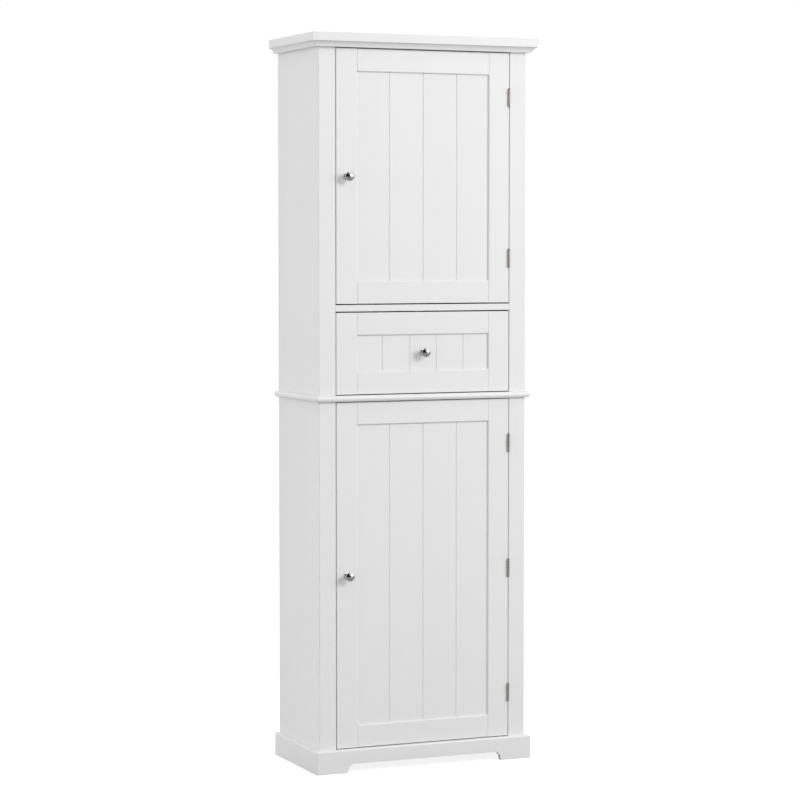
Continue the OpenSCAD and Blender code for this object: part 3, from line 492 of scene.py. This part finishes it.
# %% Satin paint
def satin_paint(name, stretch, grain=0.3):
    """White satin paint over a board whose grain runs along the smallest stretch."""
    made, tree, shader = finish(name, IOR=1.5)
    film = place(tree, sprayed_film,
                 Paint=(0.85, 0.85, 0.848, 1.0), Thin_Paint=(0.80, 0.80, 0.797, 1.0),
                 Unevenness=0.35, Stretch=stretch, Peel_Size=0.0026, Peel=0.5, Grain=grain,
                 Glossiest=0.36, Dullest=0.50)
    arris = place(tree, soft_arris, Radius=0.0012)
    greyer = times(tree, arris["Edge"], 0.35)
    edged = mixed_colour(tree, greyer, film["Color"], (0.78, 0.78, 0.77, 1.0))
    # Dust on top, and painted shade darkening the corners.
    dusted_and_shaded = place(tree, dust_and_corner_shade, Color=edged,
                   On_Top=0.10, In_Corners=0.16, Corner_Reach=0.006)
    feed(tree, shader, Base_Color=dusted_and_shaded["Color"], Roughness=film["Roughness"])
    relief(tree, shader, film["Height"], 0.00004, arris["Normal"])
    return made


upright_paint = satin_paint("upright_paint", (1.0, 1.0, 0.06))
level_paint = satin_paint("level_paint", (0.06, 1.0, 1.0))
deep_paint = satin_paint("deep_board_paint", (1.0, 0.06, 1.0))
panel_paint = satin_paint("panel_paint", (1.0, 1.0, 0.05), grain=0.45)
print("paints:", [paint.name for paint in (upright_paint, level_paint, deep_paint, panel_paint)])

# %% [markdown]
# The boards inside are chipboard faced with white foil. The foil is pressed over a roller
# with fine pores, so it is duller than paint and shows short dashes along the board. The
# sprayed film's group can make it too, with finer peel and more grain. The edge strips are
# glued on afterwards, and the joint shows as a thin line beside each edge.

# %% Foil-faced board
def foil_board(name, stretch, foil):
    """White foil over chipboard, with pores along the smallest stretch and edge strips."""
    made, tree, shader = finish(name, IOR=1.45)
    film = place(tree, sprayed_film, Paint=foil, Thin_Paint=(0.79, 0.79, 0.775, 1.0),
                 Unevenness=0.25, Stretch=stretch, Peel_Size=0.0009, Peel=0.25, Grain=0.9,
                 Glossiest=0.46, Dullest=0.60)
    arris = place(tree, soft_arris, Radius=0.0008)
    glue_line = soft_range(tree, arris["Edge"], 0.25, 0.75, high=0.4)
    edged = mixed_colour(tree, glue_line, film["Color"], (0.66, 0.65, 0.62, 1.0))
    # Dust on top, and painted shade darkening the corners.
    dusted_and_shaded = place(tree, dust_and_corner_shade, Color=edged,
                   On_Top=0.08, In_Corners=0.20, Corner_Reach=0.008)
    feed(tree, shader, Base_Color=dusted_and_shaded["Color"], Roughness=film["Roughness"])
    relief(tree, shader, film["Height"], 0.00003, arris["Normal"])
    return made


level_foil = foil_board("level_foil", (0.05, 1.0, 1.0), foil=(0.85, 0.85, 0.838, 1.0))
drawer_foil = foil_board("drawer_foil", (0.05, 0.3, 1.0), foil=(0.85, 0.845, 0.832, 1.0))
print("foils:", level_foil.name, drawer_foil.name)

# %% [markdown]
# The back is thin hardboard, raw on the side that faces the wall: brown, flecked with wood
# fibre, and printed all over by the wire screen it was pressed on. A woven picture would
# blur from close by. The flecks are noise, and the screen is two waves across each other,
# which stay sharp at any distance.

# %% Raw hardboard
hardboard, tree, shader = finish("hardboard", IOR=1.45)
spot = on_object(tree)
away = step(tree, "SeparateXYZ", None, i0=spot).outputs
flecks = noise(tree, spot, 650.0, 5.0, 0.75)
fibre = even_range(tree, flecks, 0.35, 0.68)
blotch = noise(tree, spot, 9.0, 5.0, 0.6)
damp = even_range(tree, blotch, 0.4, 0.8, high=0.35)
brown = mixed_colour(tree, fibre, (0.250, 0.145, 0.075, 1.0), (0.430, 0.275, 0.150, 1.0))
brown = mixed_colour(tree, damp, brown, (0.21, 0.12, 0.062, 1.0))
screen_pitch = 0.0017
turn = 2.0 * math.pi / screen_pitch
weft = sums(tree, "SINE", times(tree, away["X"], turn))
warp = sums(tree, "SINE", times(tree, away["Z"], turn))
screen = times(tree, weft, warp)
raw_height = plus(tree, times(tree, screen, 0.5), times(tree, flecks, 2.0))
raw_rough = even_range(tree, fibre, 0.0, 1.0, 0.82, 0.94)
print("the wire screen leaves a mark every", screen_pitch * 1000, "mm")

# %% [markdown]
# The side that faces the room is lacquered white. Two materials on one board would need its
# faces sorted by hand. Which side a point is on follows from how far back it lies, so one
# material carries both. The thin edges get their share of the lacquer, so that from the side
# the cabinet is white right to the wall.

# %% Lacquer on the back's inner side
raw_skin = 0.0004
raw_side = sums(tree, "GREATER_THAN", away["Y"], back_y - raw_skin)
film = place(tree, sprayed_film,
             Paint=(0.84, 0.84, 0.825, 1.0), Thin_Paint=(0.76, 0.755, 0.735, 1.0),
             Unevenness=0.4, Stretch=(1.0, 1.0, 1.0), Peel_Size=0.0016, Peel=0.6, Grain=0.4,
             Glossiest=0.45, Dullest=0.62)
two_sided = mixed_colour(tree, raw_side, film["Color"], brown)
# Dust on top, and painted shade darkening the corners.
dusted_and_shaded = place(tree, dust_and_corner_shade, Color=two_sided,
               On_Top=0.2, In_Corners=0.22, Corner_Reach=0.010)
rough = mixed_value(tree, raw_side, film["Roughness"], raw_rough)
feed(tree, shader, Base_Color=dusted_and_shaded["Color"], Roughness=rough)
height = mixed_value(tree, raw_side, film["Height"], raw_height)
arris = place(tree, soft_arris, Radius=0.0005)
relief(tree, shader, height, 0.00005, arris["Normal"])
print("the raw side is the last", raw_skin * 1000, "mm of", hardboard.name)

# %% [markdown]
# The knobs are turned brass, polished and chromed. Chrome has almost no colour of its own
# and shows the room instead. A perfect mirror looks drawn, and what makes it look real is
# the tiny unevenness: hair-fine swirls from the buffing wheel and a faint film where fingers
# take hold. The function that makes it makes every other metal too.

# %% Chrome
def metal_finish(name, edge_radius, scratch_depth, **values):
    """A metal from the worked metal group, with its soft edge and scratches in metres."""
    made, tree, shader = finish(name, Metallic=1.0)
    worked = place(tree, worked_metal, **values)
    arris = place(tree, soft_arris, Radius=edge_radius)
    rubbed = times(tree, arris["Edge"], 0.4)
    bright = mixed_colour(tree, rubbed, worked["Color"], (0.85, 0.85, 0.84, 1.0))
    # Dust on top, and painted shade darkening the corners.
    dusted_and_shaded = place(tree, dust_and_corner_shade, Color=bright,
                   On_Top=0.05, In_Corners=0.25, Corner_Reach=0.003)
    feed(tree, shader, Base_Color=dusted_and_shaded["Color"], Roughness=worked["Roughness"])
    relief(tree, shader, worked["Height"], scratch_depth, arris["Normal"])
    return made


chrome = metal_finish(
    "chrome", edge_radius=0.0004, scratch_depth=0.0000015,
    Metal=(0.80, 0.80, 0.81, 1.0), Tarnish=(0.66, 0.66, 0.68, 1.0),
    Cloudy=0.35, Cloud_Size=0.006, Scratch_Width=0.00025, Stretch=(1.0, 1.0, 0.35),
    Polished=0.05, Dull=0.16)
print(chrome.name, "has", len(chrome.node_tree.nodes), "nodes")

# %% [markdown]
# The hinges are steel with a satin nickel plating. They are brushed along the barrel before
# plating, so they blur what they mirror and look grey beside the chrome. The hinge pins and
# their little balls were plated less well and are darker. The screws, cams, shelf pins and
# plates inside are only zinc plated: paler, bluish and cloudy. One grey for all of them
# would look like one casting, so each gets its own colours, clouds and direction.

# %% Nickel and zinc
nickel = metal_finish(
    "satin_nickel", edge_radius=0.0003, scratch_depth=0.000004,
    Metal=(0.65, 0.61, 0.575, 1.0), Tarnish=(0.39, 0.355, 0.33, 1.0),
    Cloudy=0.6, Cloud_Size=0.004, Scratch_Width=0.0002, Stretch=(1.0, 1.0, 0.08),
    Polished=0.26, Dull=0.48)
pin_nickel = metal_finish(
    "worn_nickel", edge_radius=0.0003, scratch_depth=0.000004,
    Metal=(0.32, 0.295, 0.28, 1.0), Tarnish=(0.18, 0.165, 0.155, 1.0),
    Cloudy=0.6, Cloud_Size=0.004, Scratch_Width=0.0002, Stretch=(1.0, 1.0, 0.3),
    Polished=0.22, Dull=0.40)
zinc = metal_finish(
    "zinc_plate", edge_radius=0.0003, scratch_depth=0.000005,
    Metal=(0.60, 0.61, 0.63, 1.0), Tarnish=(0.47, 0.46, 0.42, 1.0),
    Cloudy=0.8, Cloud_Size=0.003, Scratch_Width=0.0004, Stretch=(1.0, 0.4, 1.0),
    Polished=0.24, Dull=0.52)
print("metals:", nickel.name, pin_nickel.name, zinc.name)

# %% [markdown]
# Catches, runners and the drawer's stop are moulded nylon. The mould was spark-eroded, which
# leaves an even grain like very fine sand, and the plastic is a little yellower than the
# paint beside it. Light sinks a short way into real nylon, but on strips this thin that
# can't be seen and would only slow the render. Where hands and the drawer rub along it, its
# edges turn paler.

# %% Nylon
nylon, tree, shader = finish("moulded_nylon", IOR=1.53)
spot = on_object(tree)
sand_scale = 2600.0
sand = noise(tree, spot, sand_scale, 2.0, 0.6)
flow = noise(tree, spot, 60.0, 3.0, 0.5, distortion=0.8)
tone = mixed_colour(tree, flow, (0.80, 0.795, 0.765, 1.0), (0.74, 0.73, 0.69, 1.0))
arris = place(tree, soft_arris, Radius=0.0005)
rubbed = times(tree, arris["Edge"], 0.3)
paler = mixed_colour(tree, rubbed, tone, (0.86, 0.855, 0.83, 1.0))
# Dust on top, and painted shade darkening the corners.
dusted_and_shaded = place(tree, dust_and_corner_shade, Color=paler, On_Top=0.12, In_Corners=0.2, Corner_Reach=0.004)
rough = even_range(tree, sand, 0.3, 0.7, 0.42, 0.60)
feed(tree, shader, Base_Color=dusted_and_shaded["Color"], Roughness=rough)
relief(tree, shader, sand, 0.00003, arris["Normal"])
print("nylon grain is", round(1000.0 / sand_scale, 2), "mm")

# %% [markdown]
# Every CAD node names the slot its finish belongs to. A board's grain runs its longest way,
# and the node's own box tells which way that is, so the three directions of paint are
# chosen by measuring and not by a long list of names. A node that holds a pair of boards has
# a box wider than either, and there the last word of its name says which way they run.

# %% Find the way of the grain
across, deep, upright = range(3)
way_of_pair = {"rails": across, "sides": deep, "stiles": upright}


def way_of_grain(name):
    """The axis along which a painted node's boards are longest."""
    last_word = name.split("_")[-1]
    if last_word in way_of_pair:
        return way_of_pair[last_word]
    low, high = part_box(name)
    size = high - low
    return max((across, deep, upright), key=lambda axis: size[axis])


print("the waist board's grain runs along axis", way_of_grain("waist_board"))

# %% [markdown]
# A node keeps its solid and only gets another material in its slot. Assigning the finishes
# by slot keeps every screw zinc and every shelf foil, however many there are. The hinge pins
# share the hinges' slot, and they alone are told apart by name.

# %% Finish every node
paint_by_way = {across: level_paint, deep: deep_paint, upright: upright_paint}
finish_by_slot = {
    "panel_paint": panel_paint, "inner_board": level_foil, "back_board": hardboard,
    "drawer_board": drawer_foil, "knob_chrome": chrome, "hinge_nickel": nickel,
    "zinc_steel": zinc, "fitting_plastic": nylon}
used = Counter()
for name, part in parts.items():
    slot = part.material_slots[0].material.name.split(".")[0]
    made = finish_by_slot.get(slot) or paint_by_way[way_of_grain(name)]
    if name == "hinge_pins":
        made = pin_nickel
    part.material_slots[0].material = made
    used[made.name] += 1
print(dict(used))

# %% [markdown]
# The few pieces that are too small for the CAD are made in mesh code. Each one needs a mesh,
# a material and a body to ride on, and a function does that once for all. Without a body a
# piece would stay behind when a door opens.

# %% Make a piece of a mesh
def new_piece(name, mesh, body, material, smooth):
    """Makes an object of a bmesh, and lets it ride on a body."""
    bmesh.ops.recalc_face_normals(mesh, faces=mesh.faces)
    data = bpy.data.meshes.new(name)
    mesh.to_mesh(data)
    mesh.free()
    for face in data.polygons:
        face.use_smooth = smooth
    data.materials.append(material)
    piece = bpy.data.objects.new(name, data)
    bpy.context.collection.objects.link(piece)
    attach(piece, body)
    return piece


print("new_piece() is ready")

# %% [markdown]
# The hardboard is held by small panel pins round its edge. From behind they are what says
# that this is real furniture. Their heads are low domes. A squashed sphere would come to a
# knife edge at the board, so each head is turned from a short profile, as on a lathe.

# %% Turn a pin's head
points_around = 14
pin_head = [(0.0017, -0.0003), (0.0017, 0.0002), (0.0013, 0.0005), (0.0006, 0.00065),
            (0.0, 0.0007)]


def turned_head(mesh, centre, profile):
    """Turns a profile of (radius, height) about +Y at a centre, closed by its last point."""
    angles = [2.0 * math.pi * i / points_around for i in range(points_around)]
    rings = []
    for radius, height in profile[:-1]:
        rings.append([
            mesh.verts.new(centre + Vector((radius * math.cos(a), height, radius * math.sin(a))))
            for a in angles])
    tip = mesh.verts.new(centre + Vector((0.0, profile[-1][1], 0.0)))
    after = [(i + 1) % points_around for i in range(points_around)]
    for lower, upper in zip(rings, rings[1:]):
        for i, j in enumerate(after):
            mesh.faces.new((lower[i], upper[i], upper[j], lower[j]))
    for i, j in enumerate(after):
        mesh.faces.new((rings[-1][i], tip, rings[-1][j]))


print("a pin's head is", pin_head[0][0] * 2000, "mm across")

# %% [markdown]
# The pins stand in rows along all four edges of both panels, about a hand's width apart. An
# array modifier would space them like print. A few tenths of a millimetre of wander keeps
# the rows from that, and it comes from sines, so that it is the same each time. The heads
# stand a little proud of the board and stay in front of the wall.

# %% Panel pins
edge_in, spacing = 0.0075, 0.11
wander_x, wander_z = 0.0005, 0.0006


def along_edge(start, end):
    """Places from start to end, both included, about a spacing apart."""
    count = max(2, round((end - start) / spacing) + 1)
    return [start + (end - start) * i / (count - 1) for i in range(count)]


pins = bmesh.new()
pin_count = 0
for board in ("upper_back", "lower_back"):
    low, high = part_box(board)
    left, right = low.x + edge_in, high.x - edge_in
    bottom, top = low.z + edge_in, high.z - edge_in
    places = [(x, z) for x in (left, right) for z in along_edge(bottom, top)]
    places += [(x, z) for z in (bottom, top) for x in along_edge(left, right)[1:-1]]
    for i, (x, z) in enumerate(places):
        wander = Vector((wander_x * math.sin(7.3 * i), 0.0, wander_z * math.cos(5.1 * i)))
        turned_head(pins, Vector((x, high.y, z)) + wander, pin_head)
    pin_count += len(places)
panel_pins = new_piece("panel_pins", pins, "cabinet", zinc, smooth=True)
print(panel_pins.name, "holds", pin_count, "pins")

# %% [markdown]
# A magnetic catch holds a black magnet of ferrite, a fired ceramic: almost black, dull, and
# grainy where it broke from its mould. Plain black would read as a hole in the catch, so the
# ferrite is a dark grey with grit in its colour, its gloss and its relief.

# %% Ferrite
ferrite, tree, shader = finish("ferrite", IOR=1.6)
grit = noise(tree, on_object(tree), 2200.0, 4.0, 0.7)
dark = mixed_colour(tree, grit, (0.020, 0.020, 0.021, 1.0), (0.055, 0.053, 0.050, 1.0))
# Dust on top, and painted shade darkening the corners.
dusted_and_shaded = place(tree, dust_and_corner_shade, Color=dark, On_Top=0.2, In_Corners=0.3, Corner_Reach=0.002)
rough = even_range(tree, grit, 0.0, 1.0, 0.55, 0.85)
feed(tree, shader, Base_Color=dusted_and_shaded["Color"], Roughness=rough)
arris = place(tree, soft_arris, Radius=0.0002)
relief(tree, shader, grit, 0.00002, arris["Normal"])
print(ferrite.name, "has", len(tree.nodes), "nodes")

# %% [markdown]
# The magnet is clamped between two steel plates that carry its pull to the front. The
# catches' shells are CAD solids with a shallow pocket in front, and these small bars fill
# it. Their edges are bevelled in the mesh, because at this size a bevel is cheap, and the
# plates are bare zinc that catches a line of light.

# %% Bevelled bars
half_wide = 0.0105
catch_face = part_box("magnetic_catches")[0].y
pocket_floor = catch_face + 0.0006


def bevelled_bar(mesh, middle_x, front_y, bottom, top, bevel):
    """Adds a level bar with rounded edges to a bmesh, from its front to the pocket's floor."""
    low = Vector((middle_x - half_wide, front_y, bottom))
    high = Vector((middle_x + half_wide, pocket_floor, top))
    middle, size = (low + high) / 2.0, high - low
    verts = bmesh.ops.create_cube(mesh, size=1.0)["verts"]
    for vert in verts:
        vert.co = middle + Vector(vert.co[i] * size[i] for i in range(3))
    edges = {edge for vert in verts for edge in vert.link_edges}
    bmesh.ops.bevel(mesh, geom=list(edges), offset=bevel, segments=2, profile=0.6,
                    affect="EDGES")


print("the catches' face is at y =", round(catch_face, 5))

# %% [markdown]
# Each catch sits behind the strike plate on its door, so the plate's box says where the
# magnet is. The catches share one node, whose box spans both, and would give neither place.

# %% Magnets and their plates
magnet_half, plate_from, plate_to = 0.0017, 0.0019, 0.0031
magnet_front, plate_front = catch_face + 0.0002, catch_face + 0.0001
magnet_bevel, plate_bevel = 0.00015, 0.00012
magnets, plates = bmesh.new(), bmesh.new()
for strike_plate in ("upper_strike_plate", "lower_strike_plate"):
    low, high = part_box(strike_plate)
    x, z = (low.x + high.x) / 2.0, (low.z + high.z) / 2.0
    bevelled_bar(magnets, x, magnet_front, z - magnet_half, z + magnet_half, magnet_bevel)
    bevelled_bar(plates, x, plate_front, z - plate_to, z - plate_from, plate_bevel)
    bevelled_bar(plates, x, plate_front, z + plate_from, z + plate_to, plate_bevel)
made = [new_piece("catch_magnets", magnets, "cabinet", ferrite, smooth=False),
        new_piece("catch_plates", plates, "cabinet", zinc, smooth=False)]

# %% [markdown]
# The dressed cabinet must fill the same box as the CAD solids.

# %% Finish
low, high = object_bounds()
print("visual box:", [round(v, 4) for v in low], [round(v, 4) for v in high])
